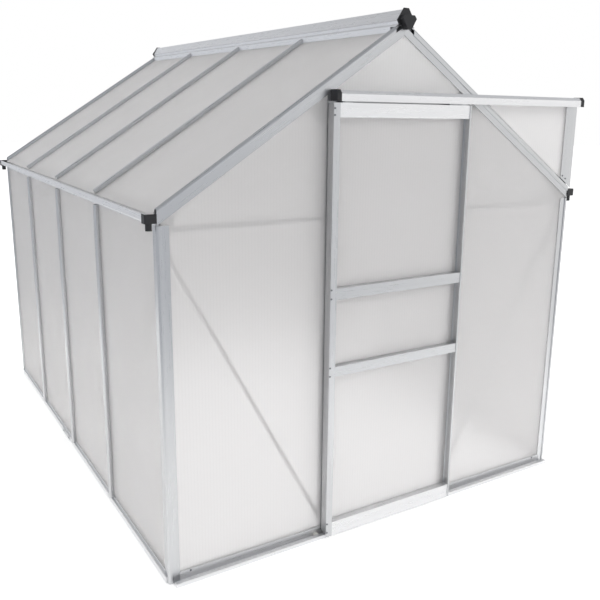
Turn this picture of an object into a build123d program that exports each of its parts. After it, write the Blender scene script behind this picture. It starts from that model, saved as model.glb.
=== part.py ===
from build123d import *
import os
from math import atan2, cos, degrees, hypot, radians, sin, tan

# A walk-in greenhouse: an aluminium frame glazed with twin-wall panels, and one sliding door.
# Millimetres. X runs across the front, Y from the front to the back, Z up from the ground.

# The frame, between the outer faces of its walls
frame_width = 1900
frame_length = 2520
eave_height = 1315
roof_pitch = 33.5
frame_depth = 30
side_bays = 4
front_bay = 665

# Sheets, section walls and the room between pieces
panel_thickness = 4
section_wall = 2
flange_thickness = 2
seat_gap = 0.3
edge_room = 1.5

# Corner posts
corner_leg = 40
corner_tube = 12
corner_round = 8
corner_step = 3

# Glazing bars: the side walls' posts and the roof's bars
bar_rise = 13
bar_round = 6
bar_web = 3
bar_flange = 26
bar_channel = 14
bar_lip = 3
side_post_width = 30
roof_bar_width = 25

# Posts of the two gable walls
gable_post_centre = 310
gable_post_width = 28

# Base rails
sill_height = 23.7
sill_flange_top = 36
sill_ledge = 8
sill_joint = 0.6
guide_reach = 34
guide_floor = 2.5
guide_groove = 17
guide_lip_height = 15
guide_end = 936

# Gable rafters
rafter_tube = 20
rafter_round = 11
rafter_step = 3
rafter_reach = 33
rafter_lip = 12

# Eave rails and gutters
eave_grip = 8
gutter_reach = 38
gutter_drop = 27
gutter_height = 25
gutter_inner_height = 15
gutter_round = 6
roof_overhang = 10
bar_overrun = 4
bar_flange_setback = 6
gutter_cap_wall = 4
gutter_cap_skirt = 1.7
gutter_cap_length = 30
gutter_cap_rise = 1
gutter_cap_round = 6
spout_radius = 10.5
spout_bore = 8.5
spout_length = 24
spout_offset = 22
spout_inset = 14

# Ridge beam
ridge_rise = 49
ridge_top_half = 11
ridge_shoulder_half = 34
ridge_shoulder_drop = 38
ridge_neck_half = 30
ridge_wing_half = 42
ridge_web = 3
ridge_seat_half = 28
ridge_channel_half = 9
ridge_channel_depth = 24
ridge_cap_margin = 5
ridge_cap_plate = 4
ridge_cap_skirt = 20
ridge_boss_reach = 28
ridge_boss_top_drop = 21
ridge_boss_top_half = 21
ridge_boss_middle_drop = 33
ridge_boss_half = 30
ridge_boss_bottom_drop = 69
ridge_boss_bottom_half = 9

# Cross bars and diagonal braces
cross_bar_height = 18
cross_bar_drop = 55
brace_width = 13
brace_thickness = 2
gable_brace_drop = 100
side_brace_drop = 150
brace_foot = 52
gusset_thickness = 2
gusset_along = 95
gusset_drop = 118
gusset_down = 50

# Door track over the doorway, and the post and panel that carry its far end
track_rise = 354
track_height = 37
track_depth = 44
track_wall = 2.2
track_bevel_out = 10
track_bevel_down = 12
track_slot_near = 16
track_slot_far = 30
track_lip = 2.5
track_cap_wall = 2
track_cap_wrap = 14
lintel_height = 40
lintel_rise = 21
lintel_web_drop = 2
track_post_left = 898
track_post_width = 42
track_post_reach = 25
track_post_drop = 7
wing_panel_drop = 12

# Sliding door
door_width = 627
door_overlap = 2
door_back = 8
door_front = 44
door_top_gap = 5
door_skirt_bottom = 8
stile_bottom = 21
stile_wall = 2
left_stile_face = 27
left_stile_slot = 18
right_stile_lip = 5
right_stile_lip_depth = 6
right_stile_slot = 4.5
right_stile_return = 20
header_height = 50
upper_rail_bottom = 966
upper_rail_height = 42
lower_rail_bottom = 670
lower_rail_height = 38
bottom_rail_bottom = 24
bottom_rail_height = 41
rail_wall = 1.8
hanger_inset = 70
hanger_width = 40
hanger_thickness = 4
hanger_near = 21
hanger_grip = 26
wheel_radius = 10
wheel_width = 7
wheel_inner_near = 8
wheel_outer_near = 31
axle_radius = 3
hub_radius = 5
stop_block_offset = 24
stop_block_length = 17

# Worked out from the sizes above
pitch = radians(roof_pitch)
half_width = frame_width / 2
half_length = frame_length / 2
slope_length = half_width / cos(pitch)
panel_front = flange_thickness + seat_gap
slot_back = panel_front + panel_thickness + seat_gap
flange_back = slot_back + flange_thickness
front_reach = track_depth + track_cap_wall
front_face = -(frame_length + front_reach + ridge_boss_reach) / 2 + front_reach
back_face = front_face + frame_length
middle = (front_face + back_face) / 2
foot = sill_height + seat_gap
inner_plane = frame_depth + seat_gap
gutter_bottom = eave_height - gutter_drop
gutter_top = gutter_bottom + gutter_height
peak_height = eave_height + half_width * tan(pitch)
ridge_top = peak_height + ridge_rise
ridge_shoulder_height = ridge_top - ridge_shoulder_drop
track_bottom = eave_height + track_rise
track_top = track_bottom + track_height
track_left = -gable_post_centre
lintel_top = track_bottom + lintel_rise
lintel_bottom = lintel_top - lintel_height
lintel_web_height = track_bottom - lintel_web_drop
track_post_right = track_post_left + track_post_width
track_post_flange = track_post_right + track_post_reach
wing_panel_top = track_top - wing_panel_drop
door_left = -gable_post_centre - gable_post_width / 2 - door_overlap
door_right = door_left + door_width
door_top = track_bottom - door_top_gap

# Each wall's own frame: X along the wall, Y into the greenhouse, Z up the wall
front_wall = Plane(origin=(0, front_face, 0), x_dir=(1, 0, 0), z_dir=(0, 0, 1))
back_wall = Plane(origin=(0, back_face, 0), x_dir=(-1, 0, 0), z_dir=(0, 0, 1))
right_wall = Plane(origin=(half_width, middle, 0), x_dir=(0, 1, 0), z_dir=(0, 0, 1))
right_roof = Plane(
    origin=(half_width, middle, eave_height), x_dir=(0, 1, 0), z_dir=(-cos(pitch), 0, sin(pitch))
)
ridge_line = Plane(origin=(0, middle, 0), x_dir=(0, 1, 0), z_dir=(0, 0, 1))


def area(left, right, low, high):
    """A rectangle between two corners."""
    return Pos((left + right) / 2, (low + high) / 2) * Rectangle(right - left, high - low)


def outline(*points):
    """A flat shape with straight sides."""
    return Polygon(*points, align=None)


def symmetric(*points):
    """A shape that is its own mirror image, from its right-hand corners listed upward."""
    return outline(*points, *[(-x, z) for x, z in reversed(points) if x])


def hollow(left, right, low, high, wall=section_wall):
    """The section of a square tube."""
    return area(left, right, low, high) - area(left + wall, right - wall, low + wall, high - wall)


def domed(left, right, low, high, radius):
    """A rectangle with its two low corners rounded."""
    shape = area(left, right, low, high)
    return fillet(shape.vertices().group_by(Axis.Y)[0], radius)


def domed_tube(left, right, low, high, radius, wall=section_wall):
    """A tube's section with its two low corners rounded."""
    inner = domed(left + wall, right - wall, low + wall, high - wall, radius - wall)
    return domed(left, right, low, high, radius) - inner


def upright(profile, wall, along, low, high):
    """A length of section that runs up a wall. The section is drawn along and into the wall."""
    return wall * Pos(along, 0, low) * extrude(profile, amount=high - low)


def rail(profile, wall, start, end):
    """A length of section that runs along a wall. The section is drawn into and up the wall."""
    section = Plane(origin=(start, 0, 0), x_dir=(0, 1, 0), z_dir=(1, 0, 0))
    return wall * extrude(section * profile, amount=end - start)


def sheet(shape, wall, depth, thickness):
    """A flat sheet in a wall. The shape is drawn along and up the wall."""
    face = Plane(origin=(0, depth, 0), x_dir=(1, 0, 0), z_dir=(0, -1, 0))
    return wall * extrude(face * shape, amount=-thickness)


def to_left(shape):
    """The same piece on the other side of the ridge."""
    return mirror(shape, about=Plane.YZ)


def to_back(shape):
    """The same piece at the other end of the greenhouse."""
    return mirror(shape, about=Plane(origin=(0, middle, 0), z_dir=(0, 1, 0)))


def roof_height(x, depth):
    """Height of a layer of the roof, by its depth under the roof's face."""
    return eave_height + (half_width - abs(x)) * tan(pitch) - depth / cos(pitch)


def under_roof(depth):
    """All the space under one layer of the roof, to cut posts to their length."""
    reach = half_width + corner_leg
    shape = outline(
        (-reach, 0), (reach, 0), (reach, roof_height(reach, depth)), (0, roof_height(0, depth)),
        (-reach, roof_height(reach, depth)),
    )
    return sheet(shape, front_wall, -front_reach, frame_length + front_reach + ridge_boss_reach)


def save(name, *shapes):
    """Write one node, of one or more solids."""
    solids = [solid for shape in shapes for solid in shape.solids()]
    export_step(Compound(solids), f"parts/{name}.step")


# Base rails
def sill_flanges():
    """The two lips that hold the foot of a panel."""
    root = sill_height - section_wall
    outer = area(0, flange_thickness, root, sill_flange_top)
    return outer + area(slot_back, flange_back, root, sill_flange_top)


def with_flanges(solid, wall, bays):
    """Add the lips between the posts."""
    for start, end in bays:
        solid += rail(sill_flanges(), wall, start + seat_gap, end - seat_gap)
    return solid


def gable_bays():
    """The bays beside and between the two posts of a gable, as pairs of places along it."""
    near = gable_post_centre - gable_post_width / 2
    far = gable_post_centre + gable_post_width / 2
    end = half_width - corner_leg
    return [(-end, -far), (-near, near), (far, end)]


def front_sill():
    """The front rail: a box under the wall, and in front of it the groove that guides the door."""
    box_end = half_width - corner_leg - seat_gap
    solid = rail(hollow(0, frame_depth, 0, sill_height), front_wall, -box_end, box_end)
    solid += rail(area(-section_wall, section_wall, 0, guide_floor), front_wall, -box_end, box_end)
    floor = area(-guide_reach, -seat_gap, 0, guide_floor)
    lip = area(-guide_reach, -guide_groove, 0, guide_lip_height)
    solid += rail(floor + lip, front_wall, -guide_end, guide_end)
    bore_end = guide_end - section_wall
    bore = area(
        -guide_reach + section_wall, -guide_groove - section_wall,
        section_wall, guide_lip_height - section_wall,
    )
    solid -= rail(bore, front_wall, -bore_end, bore_end)
    left_bay, doorway, right_bay = gable_bays()
    return with_flanges(solid, front_wall, [left_bay, right_bay])


def ledge_sill(wall, half):
    """A rail with a ledge outside its wall. The ledge runs on beside the corner posts' legs."""
    box_end = half - corner_leg - seat_gap
    solid = rail(hollow(-sill_ledge, frame_depth, 0, sill_height), wall, -box_end, box_end)
    ledge = area(-sill_ledge, -seat_gap, 0, sill_height)
    root = box_end - section_wall
    tip = half - corner_tube - seat_gap
    return solid + rail(ledge, wall, -tip, -root) + rail(ledge, wall, root, tip)


def back_sill():
    """The back rail."""
    return with_flanges(ledge_sill(back_wall, half_width), back_wall, gable_bays())


def side_sill():
    """The right-hand rail, in two lengths that meet at the middle post."""
    solid = ledge_sill(right_wall, half_length)
    solid = with_flanges(solid, right_wall, side_wall_bays(side_post_width / 2, corner_leg))
    middle_post = bar_places()[side_bays // 2 - 1]
    joint = area(middle_post - sill_joint / 2, middle_post + sill_joint / 2, 0, sill_flange_top)
    return solid - sheet(joint, right_wall, -sill_ledge, frame_depth + sill_ledge)


def bar_places():
    """Places along a side of its posts and roof bars. The bay beside the door wall is the longest."""
    step = (frame_length - front_bay) / (side_bays - 1)
    return [-half_length + front_bay + number * step for number in range(side_bays - 1)]


def side_wall_bays(post_half, end_inset):
    """The bays between the side wall's posts, as pairs of places along the wall."""
    edges = [-half_length + end_inset]
    for place in bar_places():
        edges += [place - post_half, place + post_half]
    edges.append(half_length - end_inset)
    return list(zip(edges[0::2], edges[1::2]))


# Posts
def round_nearest(shape, radius):
    """Round the corner of a shape that lies furthest out along both of its directions."""
    return fillet(shape.vertices().sort_by(Axis((0, 0, 0), (1, 1, 0)))[0], radius)


def corner_tube_profile():
    """The rounded corner of a corner post, which stands out from its two legs."""
    near = section_wall - corner_step
    far = corner_tube - section_wall
    outer = round_nearest(area(-corner_step, corner_tube, -corner_step, corner_tube), corner_round)
    return outer - round_nearest(area(near, far, near, far), corner_round - section_wall)


def corner_profile():
    """A corner post: a rounded corner, two legs over the panels and a square tube inside."""
    root = corner_tube - section_wall
    legs = area(root, corner_leg, 0, flange_thickness) + area(0, flange_thickness, root, corner_leg)
    web = area(slot_back - section_wall, corner_tube, slot_back - section_wall, corner_tube)
    tube = area(slot_back, frame_depth, slot_back, frame_depth)
    bore = area(
        slot_back + section_wall, frame_depth - section_wall,
        slot_back + section_wall, frame_depth - section_wall,
    )
    return corner_tube_profile() + legs + web + tube - bore


def corner_post():
    """The right-hand front corner post, from the ground to the eave rail."""
    top = eave_rail_bottom() - seat_gap
    return upright(corner_profile(), right_wall, -half_length, 0, top)


def channel_profile(depth):
    """The bolt channel behind a glazing bar, open to the inside."""
    half = bar_channel / 2
    shape = area(-half, half, slot_back, depth)
    shape -= area(-half + section_wall, half - section_wall, flange_back, depth - section_wall)
    return shape - area(-half + section_wall + bar_lip / 2, half - section_wall - bar_lip / 2,
                        depth - section_wall, depth)


def cap_profile(width):
    """The rounded cap of a glazing bar and the web between its two panels."""
    cap = domed_tube(-width / 2, width / 2, -bar_rise, flange_thickness, bar_round)
    return cap + area(-bar_web / 2, bar_web / 2, 0, slot_back)


def inner_flange():
    """The lip of a glazing bar behind its panels."""
    return area(-bar_flange / 2, bar_flange / 2, slot_back, flange_back)


def side_posts():
    """The posts of the right-hand wall."""
    profile = cap_profile(side_post_width) + inner_flange() + channel_profile(frame_depth)
    top = eave_flange_bottom() - seat_gap
    return [upright(profile, right_wall, place, foot, top) for place in bar_places()]


def gable_post_profile():
    """A post of a gable wall, with a slot for a panel on each side and a tube behind."""
    half = gable_post_width / 2
    shape = area(-half, half, 0, flange_thickness)
    shape += area(-bar_web / 2, bar_web / 2, 0, slot_back)
    return shape + hollow(-half, half, slot_back, frame_depth)


def gable_post(wall, place):
    """A post of a gable wall, cut to the slope of the rafter."""
    tall = upright(gable_post_profile(), wall, place, foot, ridge_top)
    return tall & under_roof(rafter_reach + seat_gap)


# Eaves and gutters
def eave_rail_bottom():
    """The eave rail lies under the rafters' ends and over the corner posts."""
    return roof_height(half_width, rafter_reach)


def eave_flange_bottom():
    """Foot of the eave rail's lips, where the side posts end."""
    return eave_rail_bottom() - eave_grip


def eave_profile():
    """The eave rail: a box with a sloping top."""
    low = eave_rail_bottom()
    top = flange_back + seat_gap
    shape = outline(
        (0, low), (frame_depth, low), (frame_depth, roof_height(half_width - frame_depth, top)),
        (0, roof_height(half_width, top)),
    )
    near = section_wall
    far = frame_depth - section_wall
    inner_top = top + section_wall
    return shape - outline(
        (near, low + section_wall), (far, low + section_wall),
        (far, roof_height(half_width - far, inner_top)), (near, roof_height(half_width - near, inner_top)),
    )


def eave_lips():
    """The two lips that hold the top of a side panel."""
    low = eave_flange_bottom()
    root = eave_rail_bottom() + section_wall
    outer = area(0, flange_thickness, low, root)
    return outer + area(slot_back, flange_back, low, root)


def trough_profile():
    """The open gutter outside the eave rail."""
    outer = area(-gutter_reach, 0, gutter_bottom, gutter_top)
    outer = fillet(outer.vertices().group_by(Axis.Y)[0].sort_by(Axis.X)[0], gutter_round)
    inner = area(
        -gutter_reach + section_wall, -section_wall, gutter_bottom + section_wall, gutter_top
    )
    inner = fillet(inner.vertices().group_by(Axis.Y)[0].sort_by(Axis.X)[0], gutter_round - section_wall)
    return outer - inner - area(-section_wall, 0, gutter_bottom + gutter_inner_height, gutter_top)


def spout_places():
    """Places along the wall of the two spouts."""
    return [-half_length + spout_inset, half_length - spout_inset]


def gutter():
    """The right-hand eave rail and gutter, one section."""
    solid = rail(trough_profile(), right_wall, -half_length, half_length)
    box_end = half_length - flange_back - seat_gap
    solid += rail(eave_profile(), right_wall, -box_end, box_end)
    lip_end = half_length - corner_leg - seat_gap
    solid += rail(eave_lips(), right_wall, -lip_end, lip_end)
    for place in spout_places():
        drain = Pos(place, -spout_offset) * Circle(spout_bore)
        solid -= upright(drain, right_wall, 0, gutter_bottom - seat_gap, gutter_bottom + section_wall)
    return solid


def gutter_cap():
    """The cup over the front end of the right-hand gutter, with its spout."""
    start = -half_length - gutter_cap_wall - seat_gap
    end = start + gutter_cap_length
    outside = -gutter_reach - gutter_cap_skirt - seat_gap
    bottom = gutter_bottom - gutter_cap_wall
    plan = area(start, end, outside, -seat_gap)
    top = gutter_top + gutter_cap_rise
    cup = upright(round_nearest(plan, gutter_cap_round), right_wall, 0, bottom, top)
    room = area(-gutter_reach - seat_gap, 0, gutter_bottom - seat_gap, top)
    cup -= rail(room, right_wall, -half_length - seat_gap, end)
    place = -half_length + spout_inset
    pipe = Pos(place, -spout_offset) * Circle(spout_radius)
    bore = Pos(place, -spout_offset) * Circle(spout_bore)
    cup += upright(pipe, right_wall, 0, bottom - spout_length, gutter_bottom - seat_gap)
    return cup - upright(bore, right_wall, 0, bottom - spout_length, gutter_bottom)


# Roof
def rafter_profile():
    """A gable rafter: a rounded tube, lips over the gable panel and lips over the roof panel."""
    shape = domed_tube(-rafter_step, rafter_tube, -bar_rise, flange_back, rafter_round)
    root = flange_back - section_wall
    shape += area(-section_wall, flange_thickness, root, flange_back)
    shape += area(0, flange_thickness, root, rafter_reach)
    shape += area(slot_back, flange_back, root, rafter_reach)
    lip_end = rafter_tube + rafter_lip
    shape += area(rafter_tube - section_wall, lip_end, 0, flange_thickness)
    return shape + area(rafter_tube - section_wall, lip_end, slot_back, flange_back)


def rafter():
    """The right-hand front rafter, cut upright at the ridge and at the eave."""
    overrun = rafter_reach
    long = upright(rafter_profile(), right_roof, -half_length, -overrun, slope_length + overrun)
    span = area(seat_gap / 2, half_width - seat_gap, 0, ridge_top)
    long &= sheet(span, front_wall, -rafter_step, rafter_step + rafter_tube + rafter_lip)
    cap_end = ridge_shoulder_half + ridge_cap_margin + edge_room
    return long - sheet(area(0, cap_end, 0, ridge_top), front_wall, -rafter_step, rafter_step)


def track_notch():
    """The room for the track in the face of the right-hand rafter."""
    notch = area(0, half_width, track_bottom - seat_gap, track_top + seat_gap)
    return sheet(notch, front_wall, -rafter_step, rafter_step)


def roof_bar(place):
    """A bar of the right-hand slope, notched over the eave rail and cut upright at the ridge's lip."""
    low = -bar_overrun
    top = slope_length - roof_bar_top()
    cap = upright(cap_profile(roof_bar_width), right_roof, place, low, top)
    half = roof_bar_width / 2
    plug = domed(-half, half, -bar_rise, flange_thickness, bar_round)
    cap += upright(plug, right_roof, place, low, low + section_wall)
    cap -= sheet(area(0, ridge_wing_half + seat_gap, 0, ridge_top), front_wall, 0, frame_length)
    inner_top = slope_length - (ridge_seat_half + seat_gap + flange_back * sin(pitch)) / cos(pitch)
    web = area(-bar_web / 2, bar_web / 2, panel_front, slot_back)
    bar = cap + upright(web, right_roof, place, low, top)
    bar += upright(inner_flange(), right_roof, place, bar_flange_setback, inner_top)
    channel_start = (inner_plane - slot_back * sin(pitch)) / cos(pitch)
    return bar + upright(channel_profile(frame_depth), right_roof, place, channel_start, inner_top)


def roof_bar_top():
    """Room at the ridge for the panels of both slopes, measured down the slope."""
    return (ridge_web / 2 + edge_room + slot_back * sin(pitch)) / cos(pitch)


def roof_panels():
    """The panels of the right-hand slope."""
    top = slope_length - roof_bar_top()
    bays = side_wall_bays(bar_web / 2 + edge_room, rafter_tube + edge_room)
    return [
        sheet(area(start, end, -roof_overhang, top), right_roof, panel_front, panel_thickness)
        for start, end in bays
    ]


def ridge_hood():
    """The hollow ridge cover, with a wing over each slope."""
    rest = -bar_rise - seat_gap
    wing_top = rest - section_wall
    slant = hypot(ridge_shoulder_half - ridge_top_half, ridge_top - ridge_shoulder_height)
    run = (ridge_shoulder_half - ridge_top_half) / (ridge_top - ridge_shoulder_height)
    shoulder_wall = section_wall * slant / (ridge_top - ridge_shoulder_height)
    inner_half = ridge_top_half + section_wall * run - shoulder_wall
    neck = ridge_neck_half - section_wall
    neck_top = ridge_top - (neck + shoulder_wall - ridge_top_half) / run
    outer = [
        (neck, roof_height(neck, rest)),
        (ridge_wing_half, roof_height(ridge_wing_half, rest)),
        (ridge_wing_half, roof_height(ridge_wing_half, wing_top)),
        (ridge_neck_half, roof_height(ridge_neck_half, wing_top)),
        (ridge_neck_half, ridge_shoulder_height - section_wall),
        (ridge_shoulder_half, ridge_shoulder_height), (ridge_top_half, ridge_top),
    ]
    inner = [
        (neck, roof_height(neck, rest)), (neck, neck_top), (inner_half, ridge_top - section_wall),
    ]
    return symmetric(*outer) - symmetric(*inner)


def ridge_lips():
    """The lips under the ridge's wings, which stand on the roof panels."""
    near = ridge_wing_half - section_wall
    far = ridge_wing_half
    low = flange_thickness
    top = -bar_rise - seat_gap
    right = [
        (near, roof_height(near, low)), (far, roof_height(far, low)),
        (far, roof_height(far, top)), (near, roof_height(near, top)),
    ]
    left = [(-x, z) for x, z in reversed(right)]
    return outline(*right) + outline(*left)


def ridge_keel():
    """The web, the sloping seats and the bolt channel under the ridge cover."""
    root = roof_height(0, flange_back)
    shape = symmetric(
        (0, root), (ridge_seat_half, roof_height(ridge_seat_half, flange_back)),
        (ridge_seat_half, roof_height(ridge_seat_half, slot_back)), (0, roof_height(0, slot_back)),
    )
    half_web = ridge_web / 2
    shape += area(-half_web, half_web, root, ridge_top - section_wall / 2)
    low = root - ridge_channel_depth
    half = ridge_channel_half
    mouth = half - section_wall - bar_lip
    shape += hollow(-half, half, low, roof_height(half, slot_back))
    return shape - area(-mouth, mouth, low, low + section_wall)


def ridge_beam():
    """The ridge: a cover over the whole length, and a keel between the gable rafters."""
    solid = rail(ridge_hood(), ridge_line, -half_length, half_length)
    keel_end = half_length - rafter_tube - rafter_lip - seat_gap
    return solid + rail(ridge_keel() + ridge_lips(), ridge_line, -keel_end, keel_end)


def ridge_cap():
    """The end piece of the ridge: a plate of the ridge's outline and a six-sided boss."""
    margin = ridge_cap_margin
    depth = ridge_cap_plate + seat_gap
    middle_height = ridge_top - ridge_boss_middle_drop
    plate = symmetric(
        (ridge_boss_half, middle_height - ridge_cap_skirt),
        (ridge_shoulder_half + margin, ridge_shoulder_height), (ridge_top_half, ridge_top + margin),
    )
    boss = symmetric(
        (ridge_boss_bottom_half, ridge_top - ridge_boss_bottom_drop), (ridge_boss_half, middle_height),
        (ridge_boss_top_half, ridge_top - ridge_boss_top_drop),
    )
    solid = sheet(plate, front_wall, -depth, ridge_cap_plate)
    return solid + sheet(boss, front_wall, -ridge_boss_reach, ridge_boss_reach - seat_gap)


# Panels of the walls
def side_panels():
    """The panels of the right-hand wall."""
    low = sill_height + edge_room
    high = eave_rail_bottom() - edge_room
    bays = side_wall_bays(bar_web / 2 + edge_room, corner_tube + edge_room)
    return [
        sheet(area(start, end, low, high), right_wall, panel_front, panel_thickness)
        for start, end in bays
    ]


def outer_gable_panel(wall):
    """The panel between a gable post and the corner, from the rail to the rafter."""
    near = gable_post_centre + bar_web / 2 + edge_room
    far = half_width - corner_tube - edge_room
    low = sill_height + edge_room
    depth = flange_back + edge_room
    far_top = roof_height(far, depth)
    near_top = roof_height(near, depth)
    shape = outline((near, low), (far, low), (far, far_top), (near, near_top))
    return sheet(shape, wall, panel_front, panel_thickness)


def middle_gable_panel(wall, low):
    """The panel between the two gable posts, up to the ridge."""
    half = gable_post_centre - bar_web / 2 - edge_room
    depth = flange_back + edge_room
    shape = outline(
        (-half, low), (half, low), (half, roof_height(half, depth)), (0, roof_height(0, depth)),
        (-half, roof_height(half, depth)),
    )
    return sheet(shape, wall, panel_front, panel_thickness)


# Cross bars, braces and gussets
def cross_bar(wall, start, end):
    """A square tube across a bay, inside its panel."""
    low = eave_height - cross_bar_drop - cross_bar_height / 2
    profile = hollow(flange_back + seat_gap, frame_depth, low, low + cross_bar_height)
    return rail(profile, wall, start, end)


def outer_cross_bar(wall):
    """The cross bar between a gable post and the corner."""
    start = gable_post_centre + gable_post_width / 2 + seat_gap
    return cross_bar(wall, start, half_width - inner_plane)


def strap(wall, start, end):
    """A flat brace with round ends, on the inner faces of the posts."""
    run = end[0] - start[0]
    rise = end[1] - start[1]
    middle_point = Pos((start[0] + end[0]) / 2, (start[1] + end[1]) / 2)
    shape = SlotCenterToCenter(hypot(run, rise), brace_width, rotation=degrees(atan2(rise, run)))
    return sheet(middle_point * shape, wall, inner_plane, brace_thickness)


def brace_corner(half):
    """Where the braces of a wall meet its corner post, along the wall."""
    return half - (flange_back + frame_depth) / 2


def gable_brace_top():
    """Height of the upper end of a gable brace."""
    return eave_height - gable_brace_drop


def gable_brace(wall):
    """The brace of a gable's outer bay, from the corner post down to the gable post."""
    corner = brace_corner(half_width)
    return strap(wall, (corner, gable_brace_top()), (gable_post_centre, brace_foot))


def side_brace(corner, post):
    """The brace of an end bay of the right-hand wall, from its corner post down to the next post."""
    return strap(right_wall, (corner, eave_height - side_brace_drop), (post, brace_foot))


def eave_gusset(wall):
    """The plate inside an eave corner, on the corner post above the brace and under the rafter."""
    corner = half_width - flange_back - seat_gap
    notch = half_width - inner_plane
    notch_top = eave_rail_bottom() - seat_gap
    inner = corner - gusset_along
    depth = flange_back + seat_gap
    tip = half_width - corner_leg
    foot_height = eave_height - gusset_drop
    steepness = (gable_brace_top() - brace_foot) / (brace_corner(half_width) - gable_post_centre)
    shape = outline(
        (tip, foot_height), (corner, foot_height + (corner - tip) * steepness), (corner, notch_top),
        (notch, notch_top), (notch, roof_height(notch, depth)), (inner, roof_height(inner, depth)),
    )
    return sheet(shape, wall, inner_plane, gusset_thickness)


def post_gusset(wall):
    """The plate at the head of a gable post, under the rafter."""
    depth = flange_back + seat_gap
    near = gable_post_centre - gable_post_width / 2
    far = near + gusset_along
    low = roof_height(far, depth + rafter_reach)
    shape = outline(
        (near, roof_height(near, depth)), (near, low - gusset_down),
        (near + gable_post_width, low - gusset_down), (far, low), (far, roof_height(far, depth)),
    )
    return sheet(shape, wall, inner_plane, gusset_thickness)


# Doorway, door track and the wing beside it
def door_lintel():
    """The bar over the doorway, which carries the track and the gable panel."""
    profile = area(0, flange_thickness, lintel_bottom, lintel_top)
    profile += area(0, slot_back, lintel_web_height - section_wall, lintel_web_height)
    profile += hollow(slot_back, frame_depth, lintel_bottom, lintel_top)
    half = gable_post_centre - gable_post_width / 2 - seat_gap
    return rail(profile, front_wall, -half, half)


def track_outline(margin):
    """The track's outer shape, drawn out from the wall and up, grown by a margin."""
    near = seat_gap
    far = track_depth + margin
    top = track_top + margin
    return [
        (-near, track_bottom), (-near, top), (-far + track_bevel_out, top),
        (-far, top - track_bevel_down), (-far, track_bottom),
    ]


def door_track():
    """The track: a closed top rail with a slot below, between two lips that the wheels roll on."""
    profile = outline(*track_outline(0))
    near = seat_gap + track_wall
    far = track_depth - track_wall
    low = track_bottom + track_lip
    top = track_top - track_wall
    profile -= outline(
        (-near, low), (-near, top), (-far + track_bevel_out, top), (-far, top - track_bevel_down),
        (-far, low),
    )
    profile -= area(-track_slot_far, -track_slot_near, track_bottom, low)
    return rail(profile, front_wall, track_left, half_width)


def track_cap(end, outward):
    """A cup over one end of the track. It leaves the track's underside free."""
    plate_end = end + outward * (track_cap_wall + seat_gap)
    wrap_end = end - outward * track_cap_wrap
    start, stop = sorted([plate_end, wrap_end])
    solid = rail(outline(*track_outline(track_cap_wall)), front_wall, start, stop)
    start, stop = sorted([end + outward * seat_gap, wrap_end])
    return solid - rail(outline(*track_outline(seat_gap)), front_wall, start, stop)


def track_post():
    """The post that carries the track's far end. It stands on the right-hand rafter."""
    profile = hollow(track_post_left, track_post_right, slot_back, rafter_tube)
    profile += area(track_post_left, track_post_flange, 0, flange_thickness)
    profile += area(track_post_left + corner_tube, track_post_right, 0, slot_back + section_wall)
    low = roof_height(track_post_flange, -bar_rise)
    tall = upright(profile, front_wall, 0, low, track_top - track_post_drop)
    return tall - under_roof(-bar_rise - seat_gap)


def wing_panel():
    """The three-sided panel between the rafter, the track and the track's post."""
    rest = -bar_rise - seat_gap
    far = track_post_left + corner_tube - edge_room
    near = half_width - (wing_panel_top - roof_height(half_width, rest)) / tan(pitch)
    shape = outline((near, wing_panel_top), (far, roof_height(far, rest)), (far, wing_panel_top))
    return sheet(shape, front_wall, panel_front, panel_thickness)


def stop_block():
    """The block in the guide groove beside the closed door."""
    start = door_left - stop_block_offset - stop_block_length / 2
    profile = area(-guide_groove + seat_gap, -seat_gap, guide_floor + seat_gap, guide_lip_height)
    return rail(profile, front_wall, start, start + stop_block_length)


# Sliding door. Its sections are drawn with the distance in front of the wall as negative depth.
panel_back_face = door_back + stile_wall + seat_gap
slot_front_face = panel_back_face + panel_thickness + seat_gap
rail_back_face = slot_front_face + stile_wall + seat_gap
rail_front_face = door_front - stile_wall - seat_gap


def door_area(left, right, back, front):
    """A rectangle of a stile's section, by its distances in front of the wall."""
    return area(left, right, -front, -back)


def notch_stile(stile):
    """Clear the lip of the guide groove at the foot of a stile."""
    face_back = door_front - stile_wall
    gap = area(-face_back, -door_back, door_skirt_bottom, stile_bottom)
    return stile - rail(gap, front_wall, door_left, door_right + right_stile_lip)


def left_stile():
    """The closing stile, with a wide face over the rails' ends."""
    web = door_left + stile_wall
    profile = door_area(door_left, web, door_back, door_front)
    profile += door_area(door_left, door_left + left_stile_face, door_front - stile_wall, door_front)
    slot_end = web + left_stile_slot
    profile += door_area(door_left, slot_end, slot_front_face, slot_front_face + stile_wall)
    profile += door_area(door_left, slot_end, door_back, door_back + stile_wall)
    return notch_stile(upright(profile, front_wall, 0, door_skirt_bottom, door_top))


def right_stile():
    """The other stile: a web with a narrow grip lip at its front."""
    web = door_right - stile_wall
    profile = door_area(web, door_right, door_back, door_front)
    profile += door_area(web, door_right + right_stile_lip, door_front - right_stile_lip_depth, door_front)
    profile += door_area(web - right_stile_slot, door_right, slot_front_face, slot_front_face + stile_wall)
    profile += door_area(web - right_stile_return, door_right, door_back, door_back + stile_wall)
    return notch_stile(upright(profile, front_wall, 0, door_skirt_bottom, door_top))


def rail_box(low, height):
    """The tube of a door rail, between the stiles' webs."""
    profile = hollow(-rail_front_face, -rail_back_face, low, low + height, rail_wall)
    return rail(profile, front_wall, door_left + stile_wall + seat_gap, door_right - stile_wall - seat_gap)


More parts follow.
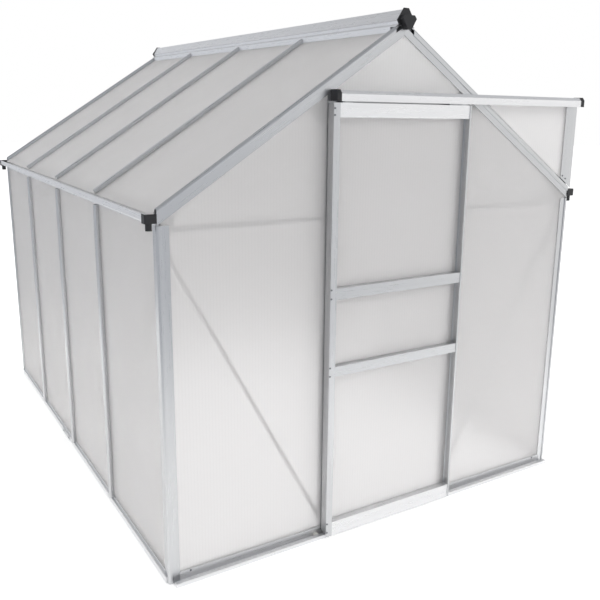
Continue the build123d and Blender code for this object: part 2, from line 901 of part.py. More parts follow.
def rail_slots(low, height):
    """The panel slots behind a door rail's tube, cut back from the stiles."""
    centre = low + height / 2
    profile = area(-rail_back_face, -slot_front_face, low, low + height)
    profile += area(-slot_front_face, -door_back, centre - stile_wall / 2, centre + stile_wall / 2)
    profile += area(-door_back - stile_wall, -door_back, low, low + height)
    start = door_left + stile_wall + left_stile_slot + seat_gap
    end = door_right - stile_wall - right_stile_return - seat_gap
    return rail(profile, front_wall, start, end)


def door_rail(low, height):
    """A rail of the door."""
    return rail_box(low, height) + rail_slots(low, height)


def bottom_rail():
    """The foot of the door: a skirt before the guide's lip and a fin in its groove."""
    solid = door_rail(bottom_rail_bottom, bottom_rail_height)
    root = bottom_rail_bottom + rail_wall
    skirt = area(-rail_front_face, -rail_front_face + stile_wall, door_skirt_bottom, root)
    solid += rail(
        skirt, front_wall, door_left + left_stile_face + seat_gap, door_right - stile_wall - seat_gap
    )
    fin = area(-door_back - stile_wall, -door_back, door_skirt_bottom, root)
    start = door_left + stile_wall + left_stile_slot + seat_gap
    end = door_right - stile_wall - right_stile_return - seat_gap
    return solid + rail(fin, front_wall, start, end)


def hanger_places():
    """Places across the door of the two hangers."""
    return [door_left + hanger_inset, door_right - hanger_inset]


def wheel_height():
    """Height of the wheels' centres over the ground."""
    return track_bottom + track_lip + seat_gap + wheel_radius


def door_header():
    """The top rail, with a slot in its top for each hanger."""
    solid = door_rail(door_top - header_height, header_height)
    reach = hanger_width / 2 + seat_gap
    for place in hanger_places():
        slot = area(place - reach, place + reach, door_top - rail_wall * 2, door_top)
        near = hanger_near - seat_gap
        solid -= sheet(
            slot, front_wall, -near - hanger_thickness - 2 * seat_gap, hanger_thickness + 2 * seat_gap
        )
    return solid


def hanger(place):
    """A plate that stands in the door's top rail and carries two wheels inside the track."""
    half = hanger_width / 2
    shape = area(place - half, place + half, door_top - hanger_grip, wheel_height() + wheel_radius)
    shape = fillet(shape.vertices().group_by(Axis.Y)[-1], wheel_radius)
    shape -= Pos(place, wheel_height()) * Circle(axle_radius + seat_gap)
    return sheet(shape, front_wall, -hanger_near - hanger_thickness, hanger_thickness)


def disc(place, radius, back, front):
    """A round slice of a wheel set."""
    shape = Pos(place, wheel_height()) * Circle(radius)
    return sheet(shape, front_wall, -front, front - back)


def wheel_set(place):
    """Two wheels on one axle, either side of a hanger."""
    inner_far = wheel_inner_near + wheel_width
    solid = disc(place, axle_radius, wheel_inner_near, wheel_outer_near + wheel_width)
    solid += disc(place, wheel_radius, wheel_inner_near, inner_far)
    solid += disc(place, hub_radius, inner_far, hanger_near - seat_gap)
    solid += disc(place, hub_radius, hanger_near + hanger_thickness + seat_gap, wheel_outer_near)
    return solid + disc(place, wheel_radius, wheel_outer_near, wheel_outer_near + wheel_width)


def door_panels():
    """The three panels of the door, in the slots of its rails and stiles."""
    left = door_left + stile_wall + edge_room
    right = door_right - stile_wall - edge_room
    room = stile_wall / 2 + edge_room
    centres = [
        bottom_rail_bottom + bottom_rail_height / 2, lower_rail_bottom + lower_rail_height / 2,
        upper_rail_bottom + upper_rail_height / 2, door_top - header_height / 2,
    ]
    depth = -panel_back_face - panel_thickness
    return [
        sheet(area(left, right, low + room, high - room), front_wall, depth, panel_thickness)
        for low, high in zip(centres, centres[1:])
    ]


def save_pair(name, shapes):
    """Write a right-hand piece and its mirror image."""
    save(f"{name}_right", *shapes)
    save(f"{name}_left", *[to_left(shape) for shape in shapes])


def save_base_and_posts():
    """Write the base rails and the posts."""
    save("base_sill_front", front_sill())
    save("base_sill_back", back_sill())
    save_pair("base_sill", [side_sill()])
    post = corner_post()
    save_pair("corner_posts", [post, to_back(post)])
    save_pair("side_posts", side_posts())
    save("door_post_left", gable_post(front_wall, -gable_post_centre))
    save("door_post_right", gable_post(front_wall, gable_post_centre))
    save("back_posts", *[gable_post(back_wall, place) for place in (-gable_post_centre, gable_post_centre)])


def save_eaves_and_roof():
    """Write the gutters, the ridge, the rafters and the roof's panels."""
    save_pair("gutter", [gutter()])
    cap = gutter_cap()
    caps = [cap, to_back(cap)]
    save("gutter_caps", *caps, *[to_left(shape) for shape in caps])
    front = rafter()
    save("rafter_front_right", front - track_notch())
    save("rafter_front_left", to_left(front))
    save_pair("rafter_back", [to_back(front)])
    save_pair("roof_bars", [roof_bar(place) for place in bar_places()])
    save_pair("roof_panels", roof_panels())
    save("ridge_beam", ridge_beam())
    cap = ridge_cap()
    save("ridge_caps", cap, to_back(cap))


def save_wall_panels():
    """Write the panels of the walls."""
    save_pair("wall_panels", side_panels())
    save_pair("front_panel", [outer_gable_panel(front_wall)])
    save("gable_panel_front", middle_gable_panel(front_wall, lintel_web_height + edge_room))
    outer = outer_gable_panel(back_wall)
    save("wall_panels_back", outer, to_left(outer), middle_gable_panel(back_wall, sill_height + edge_room))


def save_stiffeners():
    """Write the cross bars, the braces and the gussets."""
    save_pair("front_cross_bar", [outer_cross_bar(front_wall)])
    outer = outer_cross_bar(back_wall)
    half = gable_post_centre - gable_post_width / 2 - seat_gap
    save("back_cross_bars", outer, to_left(outer), cross_bar(back_wall, -half, half))
    save_pair("front_brace", [gable_brace(front_wall)])
    posts = bar_places()
    corner = brace_corner(half_length)
    save_pair("side_braces", [side_brace(-corner, posts[0]), side_brace(corner, posts[-1])])
    brace = gable_brace(back_wall)
    save("back_braces", brace, to_left(brace))
    plates = [gusset(wall) for gusset in (eave_gusset, post_gusset) for wall in (front_wall, back_wall)]
    save("gusset_plates", *plates, *[to_left(plate) for plate in plates])


def save_doorway():
    """Write the fixed pieces round the door."""
    save("door_lintel", door_lintel())
    save("door_track", door_track())
    save("door_track_caps", track_cap(track_left, -1), track_cap(half_width, 1))
    save("track_post", track_post())
    save("wing_panel", wing_panel())
    save("door_stop_block", stop_block())


def save_door():
    """Write the pieces that slide."""
    save("door_stile_left", left_stile())
    save("door_stile_right", right_stile())
    save("door_header", door_header())
    save(
        "door_mid_rails",
        door_rail(upper_rail_bottom, upper_rail_height), door_rail(lower_rail_bottom, lower_rail_height),
    )
    save("door_bottom_rail", bottom_rail())
    save("door_panels", *door_panels())
    save("door_hangers", *[hanger(place) for place in hanger_places()])
    save("door_wheels", *[wheel_set(place) for place in hanger_places()])


os.makedirs("parts", exist_ok=True)
save_base_and_posts()
save_eaves_and_roof()
save_wall_panels()
save_stiffeners()
save_doorway()
save_door()
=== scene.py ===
from math import cos, pi, radians

import bpy
from mathutils import Matrix, Vector


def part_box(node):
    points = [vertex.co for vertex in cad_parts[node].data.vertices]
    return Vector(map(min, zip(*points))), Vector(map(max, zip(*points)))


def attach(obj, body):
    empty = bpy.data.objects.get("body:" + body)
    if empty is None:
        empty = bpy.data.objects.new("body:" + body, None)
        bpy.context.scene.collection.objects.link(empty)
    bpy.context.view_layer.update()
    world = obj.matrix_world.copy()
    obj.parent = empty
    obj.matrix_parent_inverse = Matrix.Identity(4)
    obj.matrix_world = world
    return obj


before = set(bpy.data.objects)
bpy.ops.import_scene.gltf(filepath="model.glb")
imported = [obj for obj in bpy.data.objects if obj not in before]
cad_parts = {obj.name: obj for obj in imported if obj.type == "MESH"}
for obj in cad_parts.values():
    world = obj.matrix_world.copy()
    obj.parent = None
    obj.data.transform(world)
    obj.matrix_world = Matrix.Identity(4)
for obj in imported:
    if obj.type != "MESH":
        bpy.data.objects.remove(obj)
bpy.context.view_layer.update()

# A walk-in greenhouse: aluminium sections glazed with frosted twin-wall sheet, and one sliding door.
# Metres. X runs across the front, Y from the front to the back, Z up from the ground.

# Camera, as fitted to the photograph
camera_place = (-1.7436, -3.4852, 1.6441)
camera_turn = (1.75717976, -0.49964243, 0.41999401)
camera_lens = 44.69
camera_sensor = 36
camera_shift = (-0.0494, -0.0209)
camera_reach = 200

# Studio
floor_size = 60
floor_drop = 0.0005
floor_glow = {"Is Camera Ray": 0.5, "Is Transmission Ray": 0.68, "Is Glossy Ray": 0.45}
white_floor_edge = (2.4, 4)
bright_side = (0.98, 0.2, 0)
bright_edge = 0.42
white_wall_top = (0.27, 0.6)
world_light = 0.76

# Lamps: place, aim, width and length, and power in watts
softboxes = {
    "key_softbox": ((4.5, -5, 4.5), (0, 0, 1), (3.5, 3.5), 132),
    "back_softbox": ((4.5, 3.5, 6), (0, 0, 1), (4, 4), 250),
    "left_softbox": ((-6, 1, 2.5), (0, 0, 0.8), (5, 3), 20),
}

# Roof and fixings
roof_pitch = radians(33.5)
screw_head = 0.0035
screw_rise = 0.0022
screw_recess = 0.0009
screw_sides = 24
bolt_flats = 0.010
bolt_rise = 0.0045
bolt_sides = 6
washer_radius = 0.009
washer_rise = 0.0012
washer_sides = 32
edge_break = 0.0006
smooth_angle = radians(35)
plate_length = 0.14
plate_height = 0.019
plate_rise = 0.0015
plate_corner = 0.003
stile_screw_inset = 0.0045
stile_lip = 0.005
panel_setback = 0.0023
stile_screw_heights = (0.0279, 0.0645, 0.6745, 0.7074, 0.9716, 1.0051, 1.6222, 1.6450)
panel_lip_height = 0.0300
gable_screw_places = (0.31, 0.87)
corner_screw_inset = 0.026
corner_screw_height = 0.012
sill_joint = 0.17
sill_joint_screw = 0.05
track_post_screws = ((0.909, 1.374), (0.929, 1.361))
eave_gusset_bolts = ((0.891, 1.291), (0.901, 1.253))
post_gusset_bolts = ((0.310, 1.612), (0.358, 1.655))

# Colours
aluminium_colour = "#D7D8D9"
aluminium_shade = "#C7C8CA"
# Painted light: a lighter copy of the same aluminium, for the sills, track, header, gutters and ridge
painted_lit_colour = "#F3F3F4"
painted_lit_shade = "#E7E7E8"
panel_colour = "#EEEDED"
rib_colour = "#EBEAEA"
# Painted light: a whiter copy of the sheet for the gable triangle, for the glow of the lit roof behind it
lit_sheet_colour = "#FDFDFD"
lit_sheet_rib_colour = "#F9F9F9"
black_colour = "#1B1B1D"
black_shade = "#2A2A2D"
nylon_colour = "#ECEBE6"
nylon_shade = "#DCDAD2"
steel_colour = "#E2E3E3"
steel_shade = "#CFD0D2"
# Zinc, darkened partly as painted shade, so that the fixings read as shadowed recesses
zinc_with_painted_shade = "#8F9195"
worn_zinc_with_painted_shade = "#6E7074"
floor_colour = "#F4F4F4"
studio_grey = "#D5D9E0"
studio_dark = "#B0B2B6"
room_floor = "#C4C7CD"
white = "#FFFFFF"

# Finishes. The noise on a section is drawn out along its length
along_x = (0.02, 1, 1)
along_y = (1, 0.02, 1)
along_z = (1, 1, 0.02)
# Painted light: the lit copy of the aluminium is less of a mirror, so that the lamps brighten it
lit_copy_metallic = 0.75
rib_pitch = 0.012
rib_start = 0.55
wave_factor = 20
sheet_clearness = 0.58
# Painted light: the gable's whiter copy of the sheet lets more through
lit_sheet_clearness = 0.8
sheet_index = 1.3
black_index = 1.49
nylon_index = 1.53

# Noises: scale, detail and, where it isn't 0.5, roughness
die_lines = (330, 3, 0.6)
handling_patches = (45, 2)
sheet_clouds = (5, 3, 0.55)
mould_grain = (900, 2)
rubbed_patches = (60, 3)
nylon_grain = (300, 2)
wear_marks = (500, 3)
crystal_scale = 160
noise_middle = (0.3, 0.7)

# Reliefs: strength, and depth in metres
die_relief = (0.2, 0.0003)
rib_relief = (0.04, 0.0004)
mould_relief = (0.25, 0.0004)
nylon_relief = (0.15, 0.0003)

# Surface roughness, from the least to the most
aluminium_roughness = (0.24, 0.42)
sheet_roughness = (0.44, 0.52)
black_roughness = (0.38, 0.6)
nylon_roughness = 0.42
steel_roughness = (0.36, 0.5)
plated_roughness = (0.22, 0.4)


# Colours and nodes

def linear(code):
    """An sRGB hex colour as linear numbers."""
    parts = [int(code[at:at + 2], 16) / 255 for at in (1, 3, 5)]
    return [part / 12.92 if part <= 0.04045 else ((part + 0.055) / 1.055) ** 2.4 for part in parts] + [1]


def add_node(tree, kind, settings=(), **links):
    """Adds one node. A link is a value or another node's output, and _ in its name stands for a space."""
    node = tree.nodes.new(kind)
    for name, value in dict(settings).items():
        setattr(node, name, value)
    for name, value in links.items():
        socket = node.inputs[int(name[1:])] if name[1:].isdigit() else node.inputs[name.replace("_", " ")]
        if isinstance(value, bpy.types.NodeSocket):
            tree.links.new(value, socket)
        else:
            socket.default_value = value
    return node


def new_material(name):
    """An empty material, and its tree of nodes."""
    material = bpy.data.materials.new(name)
    material.use_nodes = True
    material.node_tree.nodes.clear()
    return material, material.node_tree


def finish_material(tree, **surface):
    """The surface that the other nodes lead to."""
    shader = add_node(tree, "ShaderNodeBsdfPrincipled", **surface)
    add_node(tree, "ShaderNodeOutputMaterial", Surface=shader.outputs[0])


def two_colours(tree, factor, first, second):
    """A mix of two colours, each a hex code or another node's output."""
    ends = [linear(end) if isinstance(end, str) else end for end in (first, second)]
    mix = add_node(tree, "ShaderNodeMix", {"data_type": "RGBA"}, _0=factor, _6=ends[0], _7=ends[1])
    return mix.outputs[2]


def ramp(tree, value, start, end, low=0, high=1):
    """Low up to the start, high from the end on, and an even slope between."""
    slope = add_node(
        tree, "ShaderNodeMapRange", Value=value, From_Min=start, From_Max=end, To_Min=low, To_Max=high)
    return slope.outputs[0]


def noise(tree, place, scale, detail, rough=0.5):
    """Soft random patches, about 1 / scale metres across."""
    patches = add_node(
        tree, "ShaderNodeTexNoise", Vector=place, Scale=scale, Detail=detail, Roughness=rough)
    return patches.outputs["Fac"]


def relief(tree, height, strength, depth):
    """Fine relief, for the light only."""
    return add_node(tree, "ShaderNodeBump", Height=height, Strength=strength, Distance=depth).outputs[0]


def object_place(tree):
    """The point's place on the object."""
    return add_node(tree, "ShaderNodeTexCoord").outputs["Object"]


def turned_place(tree, turn):
    """The point's place on axes turned by these angles."""
    turned = add_node(
        tree, "ShaderNodeMapping", {"vector_type": "TEXTURE"}, Vector=object_place(tree), Rotation=turn)
    return turned.outputs[0]


# Materials

def extruded_aluminium(
        name, stretch, turn=(0, 0, 0), colours=(aluminium_shade, aluminium_colour), metal=1):
    """Extruded aluminium: satin, with fine lines along its length. Its lighter copy is painted light: the
    same metal, made brighter.
    """
    material, tree = new_material(name)
    place = turned_place(tree, turn)
    along = add_node(tree, "ShaderNodeMapping", Vector=place, Scale=stretch).outputs[0]
    # Die lines are under 1 mm apart on a real bar; here they are 3 mm apart, so that they show
    lines = noise(tree, along, *die_lines)
    # Handling and oxide leave faint patches, about 20 mm wide and 1 m long
    patches = noise(tree, along, *handling_patches)
    finish_material(
        tree, Base_Color=two_colours(tree, patches, *colours), Metallic=metal,
        Roughness=ramp(tree, lines, *noise_middle, *aluminium_roughness),
        Normal=relief(tree, lines, *die_relief))
    return material


def twin_wall_sheet(name, across, colours=(panel_colour, rib_colour), clearness=sheet_clearness):
    """Extruded polycarbonate sheet with inner ribs: frosted, with faint stripes. Its whiter, clearer copy
    is painted light.
    """
    material, tree = new_material(name)
    place = turned_place(tree, (0, 0, across))
    # The ribs of a 4 mm sheet are about 6 mm apart; here they are 12 mm, the least that shows.
    # The wave node multiplies its scale by its own factor, into radians for each metre
    ribs = add_node(
        tree, "ShaderNodeTexWave", {"bands_direction": "X", "wave_profile": "SIN"}, Vector=place,
        Scale=2 * pi / (wave_factor * rib_pitch), Distortion=0).outputs["Fac"]
    # The sheet's thickness wanders, which clouds it in patches about 200 mm across
    clouds = noise(tree, object_place(tree), *sheet_clouds)
    finish_material(
        tree, Base_Color=two_colours(tree, ramp(tree, ribs, rib_start, 1), *colours), Metallic=0,
        Roughness=ramp(tree, clouds, *noise_middle, *sheet_roughness), IOR=sheet_index,
        Transmission_Weight=clearness, Normal=relief(tree, ribs, *rib_relief))
    return material


def moulded_black():
    """Injection-moulded polypropylene: near black, matt, with a fine cast grain."""
    material, tree = new_material("moulded_black_polypropylene")
    place = object_place(tree)
    # The mould's grain is about 1 mm
    grain = noise(tree, place, *mould_grain)
    rubbed = noise(tree, place, *rubbed_patches)
    finish_material(
        tree, Base_Color=two_colours(tree, rubbed, black_colour, black_shade),
        Roughness=ramp(tree, rubbed, 0, 1, *black_roughness), IOR=black_index,
        Normal=relief(tree, grain, *mould_relief))
    return material


def white_nylon():
    """White nylon: slightly waxy, with a faint grain."""
    material, tree = new_material("white_nylon")
    grain = noise(tree, object_place(tree), *nylon_grain)
    finish_material(
        tree, Base_Color=two_colours(tree, grain, nylon_colour, nylon_shade), Roughness=nylon_roughness,
        IOR=nylon_index, Normal=relief(tree, grain, *nylon_relief))
    return material


def galvanised_steel():
    """Steel strip with a zinc coat: as pale as the aluminium, with faint crystal patches."""
    material, tree = new_material("galvanised_steel")
    # Zinc crystals on thin strip are about 6 mm across
    crystals = add_node(tree, "ShaderNodeTexVoronoi", Vector=object_place(tree), Scale=crystal_scale)
    tone = add_node(tree, "ShaderNodeSeparateColor", Color=crystals.outputs["Color"]).outputs[0]
    finish_material(
        tree, Base_Color=two_colours(tree, tone, steel_colour, steel_shade), Metallic=1,
        Roughness=ramp(tree, tone, 0, 1, *steel_roughness))
    return material


def zinc_plate():
    """Zinc-plated steel fixings, with fine wear marks. Darker than the strip: partly the zinc's own tone,
    partly painted shade for the screws' recesses.
    """
    material, tree = new_material("zinc_plated_steel")
    marks = noise(tree, object_place(tree), *wear_marks)
    finish_material(
        tree, Base_Color=two_colours(tree, marks, worn_zinc_with_painted_shade, zinc_with_painted_shade), Metallic=1,
        Roughness=ramp(tree, marks, 0, 1, *plated_roughness))
    return material


# Painted light: a lighter, less mirror-like copy of the same aluminium
painted_lit_copy = {"colours": (painted_lit_shade, painted_lit_colour), "metal": lit_copy_metallic}
aluminium_across = extruded_aluminium("mill_aluminium_across", along_x)
aluminium_upright = extruded_aluminium("mill_aluminium_upright", along_z)
aluminium_slope_right = extruded_aluminium("mill_aluminium_slope_right", along_x, (0, roof_pitch, 0))
aluminium_slope_left = extruded_aluminium("mill_aluminium_slope_left", along_x, (0, -roof_pitch, 0))
painted_lit_across = extruded_aluminium("painted_lit_aluminium_across", along_x, **painted_lit_copy)
painted_lit_lengthways = extruded_aluminium("painted_lit_aluminium_lengthways", along_y, **painted_lit_copy)
sheet_front = twin_wall_sheet("twin_wall_sheet_gable", 0)
sheet_side = twin_wall_sheet("twin_wall_sheet_side", pi / 2)
# Painted light: the gable triangle gets a whiter, clearer copy of the sheet, for the glow behind it
painted_lit_sheet = twin_wall_sheet("twin_wall_sheet_painted_lit", 0, (lit_sheet_colour, lit_sheet_rib_colour), lit_sheet_clearness)
black = moulded_black()
nylon = white_nylon()
steel = galvanised_steel()
plated = zinc_plate()

finishes = {
    aluminium_across: (
        "door_lintel", "front_cross_bar_left", "front_cross_bar_right", "back_cross_bars",
        "door_mid_rails"),
    painted_lit_across: (
        "base_sill_front", "base_sill_back", "door_track", "door_header", "door_bottom_rail"),
    painted_lit_lengthways: (
        "base_sill_left", "base_sill_right", "gutter_left", "gutter_right", "ridge_beam"),
    aluminium_upright: (
        "corner_posts_left", "corner_posts_right", "side_posts_left", "side_posts_right",
        "door_post_left", "door_post_right", "back_posts", "track_post", "door_stile_left",
        "door_stile_right"),
    aluminium_slope_right: ("rafter_front_right", "rafter_back_right", "roof_bars_right"),
    aluminium_slope_left: ("rafter_front_left", "rafter_back_left", "roof_bars_left"),
    sheet_front: (
        "front_panel_left", "front_panel_right", "wing_panel", "wall_panels_back", "door_panels"),
    painted_lit_sheet: ("gable_panel_front",),
    sheet_side: ("wall_panels_left", "wall_panels_right", "roof_panels_left", "roof_panels_right"),
    black: ("gutter_caps", "ridge_caps", "door_track_caps"),
    nylon: ("door_wheels", "door_stop_block"),
    steel: (
        "gusset_plates", "front_brace_left", "front_brace_right", "side_braces_left",
        "side_braces_right", "back_braces", "door_hangers"),
}


def set_material(piece, material):
    """Gives a piece this material alone."""
    piece.data.materials.clear()
    piece.data.materials.append(material)


for material, names in finishes.items():
    for name in names:
        set_material(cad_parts[name], material)


# Fixings

def add_cylinder(sides, radius, low, high):
    """An upright cylinder from one height to another."""
    bpy.ops.object.select_all(action="DESELECT")
    bpy.ops.mesh.primitive_cylinder_add(
        vertices=sides, radius=radius, depth=high - low, location=(0, 0, (low + high) / 2))
    bpy.ops.object.transform_apply(location=True)
    return bpy.context.object


def select_top(piece):
    """Goes into edit mode with only the highest flat face selected."""
    bpy.ops.object.mode_set(mode="EDIT")
    bpy.ops.mesh.select_mode(type="FACE")
    bpy.ops.mesh.select_all(action="DESELECT")
    bpy.ops.object.mode_set(mode="OBJECT")
    top = max(piece.data.polygons, key=lambda face: (round(face.center.z, 6), face.area))
    top.select = True
    bpy.ops.object.mode_set(mode="EDIT")


def select_edges(piece, wanted):
    """Goes into edit mode with only the edges selected that run the wanted way."""
    bpy.ops.object.mode_set(mode="EDIT")
    bpy.ops.mesh.select_mode(type="EDGE")
    bpy.ops.mesh.select_all(action="DESELECT")
    bpy.ops.object.mode_set(mode="OBJECT")
    corners = piece.data.vertices
    for edge in piece.data.edges:
        edge.select = wanted(corners[edge.vertices[1]].co - corners[edge.vertices[0]].co)
    bpy.ops.object.mode_set(mode="EDIT")


def pan_head_screw():
    """A pan-head screw: a rounded head with a round recess."""
    head = add_cylinder(screw_sides, screw_head, 0, screw_rise)
    select_top(head)
    bpy.ops.mesh.bevel(offset=edge_break * 2, segments=3)
    select_top(head)
    bpy.ops.mesh.inset(thickness=screw_recess)
    bpy.ops.mesh.extrude_region_move(TRANSFORM_OT_translate={"value": (0, 0, -screw_recess)})
    bpy.ops.object.mode_set(mode="OBJECT")
    return head


def hexagon_bolt():
    """A bolt's head on its washer, both with broken edges."""
    washer = add_cylinder(washer_sides, washer_radius, 0, washer_rise)
    select_top(washer)
    bpy.ops.mesh.bevel(offset=edge_break / 2, segments=1)
    bpy.ops.object.mode_set(mode="OBJECT")
    head = add_cylinder(
        bolt_sides, bolt_flats / 2 / cos(pi / bolt_sides), washer_rise, washer_rise + bolt_rise)
    select_top(head)
    bpy.ops.mesh.bevel(offset=edge_break, segments=2)
    bpy.ops.object.mode_set(mode="OBJECT")
    washer.select_set(True)
    bpy.ops.object.join()
    return bpy.context.object


def joint_plate():
    """A pressed plate with rounded corners and broken edges, lying on the side rail's face."""
    bpy.ops.object.select_all(action="DESELECT")
    bpy.ops.mesh.primitive_cube_add(size=1, location=(0, 0, plate_rise / 2))
    plate = bpy.context.object
    plate.dimensions = (plate_length, plate_height, plate_rise)
    bpy.ops.object.transform_apply(location=True, scale=True)
    select_edges(plate, lambda edge: abs(edge.z) > plate_rise / 2)
    bpy.ops.mesh.bevel(offset=plate_corner, segments=4)
    select_top(plate)
    bpy.ops.mesh.bevel(offset=edge_break / 2, segments=1)
    bpy.ops.object.mode_set(mode="OBJECT")
    return plate


def seat(fixing, place, facing):
    """A copy of a fixing, with its seat on a surface that faces this way."""
    copy = fixing.copy()
    copy.data = fixing.data.copy()
    bpy.context.collection.objects.link(copy)
    turn = Vector(facing).to_track_quat("Z", "Y").to_matrix().to_4x4()
    copy.data.transform(Matrix.Translation(place) @ turn)
    return copy


def fasten(name, fixing, body, seats, material=plated):
    """One piece for all the fixings of one kind and use."""
    copies = [seat(fixing, place, facing) for place, facing in seats]
    bpy.ops.object.select_all(action="DESELECT")
    for copy in copies:
        copy.select_set(True)
    bpy.context.view_layer.objects.active = copies[0]
    bpy.ops.object.join()
    piece = bpy.context.object
    piece.name = name
    bpy.ops.object.shade_smooth_by_angle(angle=smooth_angle)
    set_material(piece, material)
    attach(piece, body)


def both_sides(places):
    """Each place across the front, and its mirror image."""
    return [(side * x, z) for x, z in places for side in (-1, 1)]


def door_seats():
    """The screws through the stiles into the ends of the door's rails."""
    left_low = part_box("door_stile_left")[0]
    right_low, right_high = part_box("door_stile_right")
    middle = (right_low.y + right_high.y) / 2
    faces = [((left_low.x + stile_screw_inset, left_low.y, z), (0, -1, 0)) for z in stile_screw_heights]
    return faces + [((right_high.x - stile_lip, middle, z), (1, 0, 0)) for z in stile_screw_heights]


def sill_seats():
    """The screws at the feet of the panels' lips, at the corner posts and in the side rails' plates."""
    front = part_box("door_post_left")[0].y
    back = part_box("back_posts")[1].y
    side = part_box("wall_panels_right")[1].x + panel_setback
    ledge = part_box("base_sill_right")[1].x
    seats = []
    for x, z in both_sides([(place, panel_lip_height) for place in gable_screw_places]):
        seats += [((x, front, z), (0, -1, 0)), ((x, back, z), (0, 1, 0))]
    for hand in (-1, 1):
        facing = (hand, 0, 0)
        for y in (front + corner_screw_inset, back - corner_screw_inset):
            seats.append(((hand * side, y, corner_screw_height), facing))
        for y in (sill_joint - sill_joint_screw, sill_joint + sill_joint_screw):
            seats.append(((hand * (ledge + plate_rise), y, corner_screw_height), facing))
    return seats


def plate_seats():
    """The plates on the side rails, behind the middle posts."""
    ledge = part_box("base_sill_right")[1].x
    return [((hand * ledge, sill_joint, corner_screw_height), (hand, 0, 0)) for hand in (-1, 1)]


def gusset_seats():
    """The bolts through the plates inside the gables."""
    low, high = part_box("gusset_plates")
    seats = []
    for x, z in both_sides(eave_gusset_bolts + post_gusset_bolts):
        seats += [((x, low.y, z), (0, -1, 0)), ((x, high.y, z), (0, 1, 0))]
    return seats


def add_fixings():
    """All the fixings, each kind and use as one piece."""
    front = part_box("track_post")[0].y
    screw = pan_head_screw()
    fasten("door_stile_screws", screw, "door", door_seats())
    fasten("base_rail_screws", screw, "frame", sill_seats())
    fasten("track_post_screws", screw, "frame", [((x, front, z), (0, -1, 0)) for x, z in track_post_screws])
    bolt = hexagon_bolt()
    fasten("gusset_bolts", bolt, "frame", gusset_seats())
    plate = joint_plate()
    fasten("base_rail_joint_plates", plate, "frame", plate_seats(), steel)
    for fixing in (screw, bolt, plate):
        bpy.data.objects.remove(fixing)


add_fixings()


# Floor, world, lamps and camera

def seen_ray(tree, *kinds):
    """1 for a ray of one of these kinds, and 0 for any other."""
    rays = add_node(tree, "ShaderNodeLightPath").outputs
    seen = rays[kinds[0]]
    for kind in kinds[1:]:
        seen = add_node(tree, "ShaderNodeMath", {"operation": "MAXIMUM"}, _0=seen, _1=rays[kind]).outputs[0]
    return seen


def room_level(tree, way, dull_colour):
    """The studio is white to the object's right, and duller on its other sides."""
    side = add_node(tree, "ShaderNodeVectorMath", {"operation": "DOT_PRODUCT"}, _0=way, _1=bright_side)
    return two_colours(tree, ramp(tree, side.outputs["Value"], 0, bright_edge), dull_colour, white)


def white_floor(tree, rays):
    """White paint that glows a little, so that it shows as white as the photograph's floor."""
    paint = add_node(tree, "ShaderNodeBsdfDiffuse", Color=linear(floor_colour))
    lift = 0
    for kind, share in floor_glow.items():
        more = add_node(
            tree, "ShaderNodeMath", {"operation": "MULTIPLY_ADD"}, _0=rays[kind], _1=share, _2=lift)
        lift = more.outputs[0]
    glow = add_node(tree, "ShaderNodeEmission", Color=linear(floor_colour), Strength=lift)
    return add_node(tree, "ShaderNodeAddShader", _0=paint.outputs[0], _1=glow.outputs[0]).outputs[0]


def make_floor():
    """A wide floor just under the object. It isn't part of the object."""
    bpy.ops.object.select_all(action="DESELECT")
    bpy.ops.mesh.primitive_plane_add(size=floor_size, location=(0, 0, -floor_drop))
    floor = bpy.context.object
    floor.name = "studio_floor"
    material, tree = new_material("painted_studio_floor")
    rays = add_node(tree, "ShaderNodeLightPath").outputs
    painted = white_floor(tree, rays)
    # Past the white floor, about 3 m out, the room's own floor shows in the metal
    place = object_place(tree)
    reach = add_node(tree, "ShaderNodeVectorMath", {"operation": "LENGTH"}, _0=place).outputs["Value"]
    way = add_node(tree, "ShaderNodeVectorMath", {"operation": "NORMALIZE"}, _0=place).outputs["Vector"]
    room = add_node(tree, "ShaderNodeEmission", Color=room_level(tree, way, room_floor)).outputs[0]
    far = ramp(tree, reach, *white_floor_edge, 0, rays["Is Glossy Ray"])
    surface = add_node(tree, "ShaderNodeMixShader", _0=far, _1=painted, _2=room)
    add_node(tree, "ShaderNodeOutputMaterial", Surface=surface.outputs[0])
    set_material(floor, material)


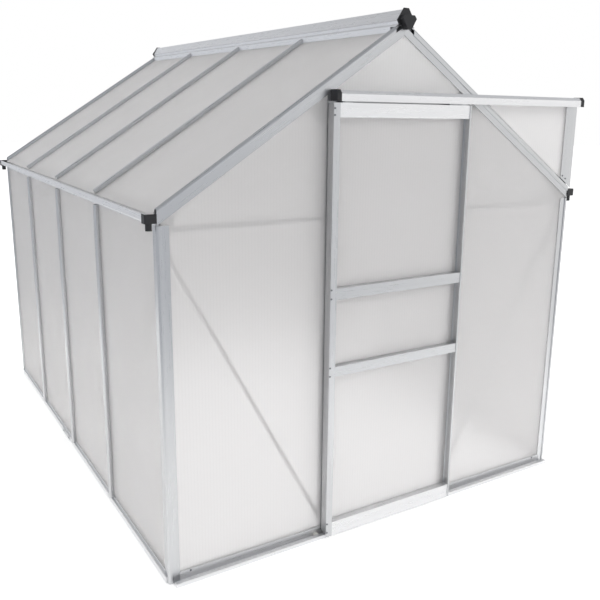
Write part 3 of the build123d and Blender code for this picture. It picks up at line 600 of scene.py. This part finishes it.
def make_world():
    """White behind the object and through its sheets, a studio in its metal, and even light elsewhere."""
    world = bpy.data.worlds.new("studio")
    bpy.context.scene.world = world
    world.use_nodes = True
    tree = world.node_tree
    tree.nodes.clear()
    way = add_node(tree, "ShaderNodeTexCoord").outputs["Generated"]
    upward = add_node(tree, "ShaderNodeSeparateXYZ", Vector=way).outputs["Z"]
    # The white wall ends above the object
    studio = two_colours(
        tree, ramp(tree, upward, *white_wall_top), room_level(tree, way, studio_grey), studio_dark)
    wall = two_colours(tree, seen_ray(tree, "Is Camera Ray", "Is Transmission Ray"), studio, white)
    backdrop = add_node(tree, "ShaderNodeBackground", Color=wall, Strength=1).outputs[0]
    light = add_node(tree, "ShaderNodeBackground", Color=linear(white), Strength=world_light).outputs[0]
    shown = seen_ray(tree, "Is Camera Ray", "Is Transmission Ray", "Is Glossy Ray")
    both = add_node(tree, "ShaderNodeMixShader", _0=shown, _1=light, _2=backdrop)
    add_node(tree, "ShaderNodeOutputWorld", Surface=both.outputs[0])


def make_lamp(name, place, aim, size, power):
    """A softbox that lights the object without showing in its metal."""
    bpy.ops.object.light_add(type="AREA", location=place)
    lamp = bpy.context.object
    lamp.name = name
    lamp.data.shape = "RECTANGLE"
    lamp.data.size = size[0]
    lamp.data.size_y = size[1]
    lamp.data.energy = power
    lamp.visible_glossy = False
    lamp.rotation_euler = (Vector(aim) - Vector(place)).to_track_quat("-Z", "Y").to_euler()


def make_camera():
    """The photograph's camera. Its turn is an axis, as long as the angle about it."""
    bpy.ops.object.camera_add(location=camera_place)
    camera = bpy.context.object
    camera.name = "photograph_camera"
    turn = Vector(camera_turn)
    seen = Matrix.Rotation(turn.length, 3, turn.normalized())
    camera.rotation_euler = (seen.transposed() @ Matrix.Diagonal((1, -1, -1))).to_euler()
    camera.data.sensor_width = camera_sensor
    camera.data.lens = camera_lens
    camera.data.shift_x = camera_shift[0]
    camera.data.shift_y = camera_shift[1]
    camera.data.clip_end = camera_reach
    bpy.context.scene.camera = camera


make_floor()
make_world()
for name, settings in softboxes.items():
    make_lamp(name, *settings)
make_camera()

bpy.context.scene.view_settings.view_transform = "Standard"
